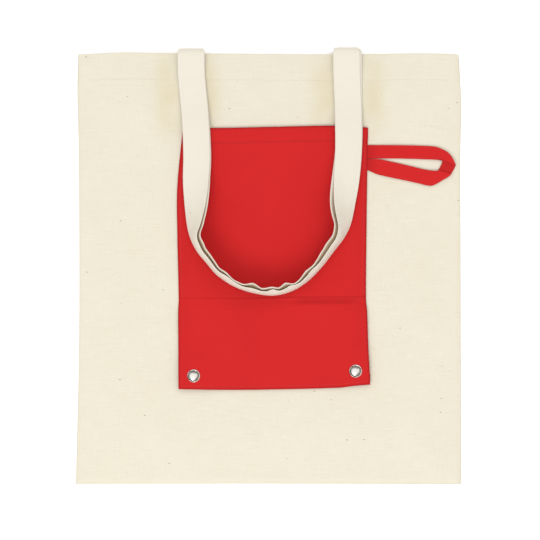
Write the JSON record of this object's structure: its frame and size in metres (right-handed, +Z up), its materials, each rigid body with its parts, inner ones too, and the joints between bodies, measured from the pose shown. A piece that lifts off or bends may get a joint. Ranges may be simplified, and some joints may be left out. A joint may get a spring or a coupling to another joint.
{
  "type": "foldable tote bag",
  "caption": "Flat cotton tote bag with long shoulder straps, and a red stow pouch with a snap flap and a wrist loop on its front.",
  "frame": {"origin": "on the surface that the bag lies on, under the middle of the whole object's outline", "axes": "+X to the wearer's right as the pouch is looked at, +Y along the bag from its bottom to its mouth, +Z up off the surface, out of the pouch side"},
  "size_m": [0.38, 0.4309, 0.0393],
  "materials": {
    "canvas": "matt plain-woven natural cotton canvas",
    "webbing": "matt folded cotton strap",
    "cotton_thread": "matt spun cotton",
    "red_cloth": "matt plain-woven dyed cotton",
    "red_thread": "matt spun cotton",
    "nickel": "polished nickel plate"
  },
  "bodies": {
    "bag": {"bag_front": "canvas", "bag_back": "canvas", "seam_thread_left": "cotton_thread", "seam_thread_right": "cotton_thread", "seam_thread_bottom": "cotton_thread", "mouth_stitch_front": "cotton_thread", "mouth_stitch_back": "cotton_thread", "front_handle_tail_left": "webbing", "front_handle_tail_right": "webbing", "back_handle_tail_left": "webbing", "back_handle_tail_right": "webbing", "front_handle_stitch_left": "cotton_thread", "front_handle_stitch_right": "cotton_thread", "back_handle_stitch_left": "cotton_thread", "back_handle_stitch_right": "cotton_thread", "pouch_front": "red_cloth", "pouch_backing": "red_cloth", "pouch_hem_stitch": "red_thread", "pouch_side_stitch_left": "red_thread", "pouch_side_stitch_right": "red_thread", "snap_stud_left": "nickel", "snap_stud_right": "nickel", "snap_eyelet_left": "nickel", "snap_eyelet_right": "nickel"},
    "front_handle": {"front_handle": "webbing"},
    "back_handle": {"back_handle": "webbing"},
    "flap": {"flap": "red_cloth", "flap_hem_stitch": "red_thread", "snap_cap_left": "nickel", "snap_cap_right": "nickel", "snap_socket_left": "nickel", "snap_socket_right": "nickel"},
    "wrist_loop": {"wrist_loop": "red_cloth", "wrist_loop_stitch": "red_thread"}
  },
  "joints": [
    {"name": "back_handle_lift", "type": "hinge", "parent": "bag", "child": "back_handle", "pos_m": [0, 0.2159, 0.007], "axis": [-1, 0, 0], "range_deg": [0, 180]},
    {"name": "front_handle_lift", "type": "hinge", "parent": "bag", "child": "front_handle", "pos_m": [0, 0.2159, 0.007], "axis": [-1, 0, 0], "range_deg": [0, 180]},
    {"name": "flap_open", "type": "hinge", "parent": "bag", "child": "flap", "pos_m": [0, -0.032, 0.0106], "axis": [-1, 0, 0], "range_deg": [0, 80]},
    {"name": "wrist_loop_lift", "type": "hinge", "parent": "bag", "child": "wrist_loop", "pos_m": [0.0978, 0.1062, 0.0082], "axis": [0, -1, 0], "range_deg": [0, 120]}
  ],
  "couplings": [
    {"joint": "front_handle_lift", "follows": "back_handle_lift", "ratio": 1}
  ]
}
